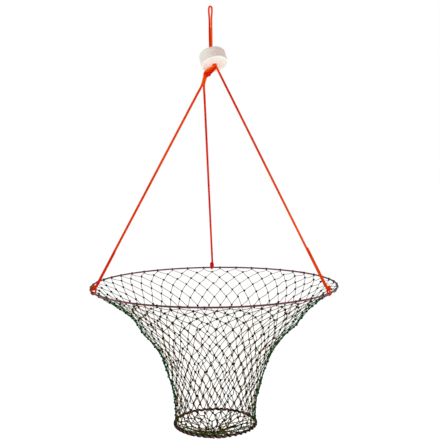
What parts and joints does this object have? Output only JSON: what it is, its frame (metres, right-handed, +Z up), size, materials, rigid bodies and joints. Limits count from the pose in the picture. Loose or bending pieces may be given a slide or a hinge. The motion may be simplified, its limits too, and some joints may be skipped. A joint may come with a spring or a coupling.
{
  "type": "hanging crab net",
  "caption": "Hoop crab net: a wide top hoop and a small bottom hoop joined by trumpet-shaped knotted netting, hung from a cord bridle with a foam float and a hang loop.",
  "frame": {"origin": "where a hook bears, inside the top of the hang loop, on the plumb line through both hoops", "axes": "+Z up along the plumb line; -Y is the front; +X is to the right seen from the front; the back leg of the bridle is near +Y"},
  "size_m": [0.767, 0.7728, 1.3374],
  "materials": {
    "coated_rod": "satin",
    "green_twine": "matte",
    "orange_cord": "matte",
    "white_foam": "matte"
  },
  "bodies": {
    "loop": {"hang_loop": "orange_cord"},
    "bridle": {"trunk_cord": "orange_cord", "bundle_cord": "orange_cord", "bridle_knot": "orange_cord", "knot_tail": "orange_cord"},
    "float": {"float": "white_foam"},
    "top_hoop": {"top_hoop": "coated_rod", "wall_netting_1": "green_twine", "hitch_left": "orange_cord", "hitch_right": "orange_cord", "hitch_back": "orange_cord", "leg_left": "orange_cord", "leg_right": "orange_cord", "leg_back": "orange_cord", "leg_tail_left": "orange_cord", "leg_tail_right": "orange_cord"},
    "net_tier_2": {"wall_netting_2": "green_twine"},
    "net_tier_3": {"wall_netting_3": "green_twine"},
    "net_tier_4": {"wall_netting_4": "green_twine"},
    "net_tier_5": {"wall_netting_5": "green_twine"},
    "bottom_hoop": {"bottom_hoop": "coated_rod", "wall_netting_6": "green_twine", "base_netting": "green_twine", "base_gather_knot": "green_twine"}
  },
  "joints": [
    {"name": "loop_swing", "type": "hinge", "parent": "loop", "child": "bridle", "pos_m": [0, 0, -0.063], "axis": [0, 1, 0], "range_deg": [-60, 60]},
    {"name": "float_spin", "type": "hinge", "parent": "bridle", "child": "float", "pos_m": [0.00951, -0.02184, -0.17537], "axis": [-0.198, 0.4551, 0.8682], "range_deg": [-180, 180]},
    {"name": "bridle_drop", "type": "slide", "parent": "bridle", "child": "top_hoop", "axis": [0, 0, 1], "range_m": [0, 0.6], "deforming": ["leg_left", "leg_right", "leg_back", "leg_tail_left", "leg_tail_right"]},
    {"name": "net_collapse", "type": "slide", "parent": "top_hoop", "child": "bottom_hoop", "axis": [0, 0, 1], "range_m": [0, 0.43]},
    {"name": "net_tier_2_rise", "type": "slide", "parent": "top_hoop", "child": "net_tier_2", "axis": [0, 0, 1], "range_m": [0, 0.1365]},
    {"name": "net_tier_3_rise", "type": "slide", "parent": "top_hoop", "child": "net_tier_3", "axis": [0, 0, 1], "range_m": [0, 0.21]},
    {"name": "net_tier_4_rise", "type": "slide", "parent": "top_hoop", "child": "net_tier_4", "axis": [0, 0, 1], "range_m": [0, 0.2835]},
    {"name": "net_tier_5_rise", "type": "slide", "parent": "top_hoop", "child": "net_tier_5", "axis": [0, 0, 1], "range_m": [0, 0.357]}
  ],
  "couplings": [
    {"joint": "net_tier_2_rise", "follows": "net_collapse", "ratio": 0.3163},
    {"joint": "net_tier_3_rise", "follows": "net_collapse", "ratio": 0.4872},
    {"joint": "net_tier_4_rise", "follows": "net_collapse", "ratio": 0.6581},
    {"joint": "net_tier_5_rise", "follows": "net_collapse", "ratio": 0.8291}
  ]
}
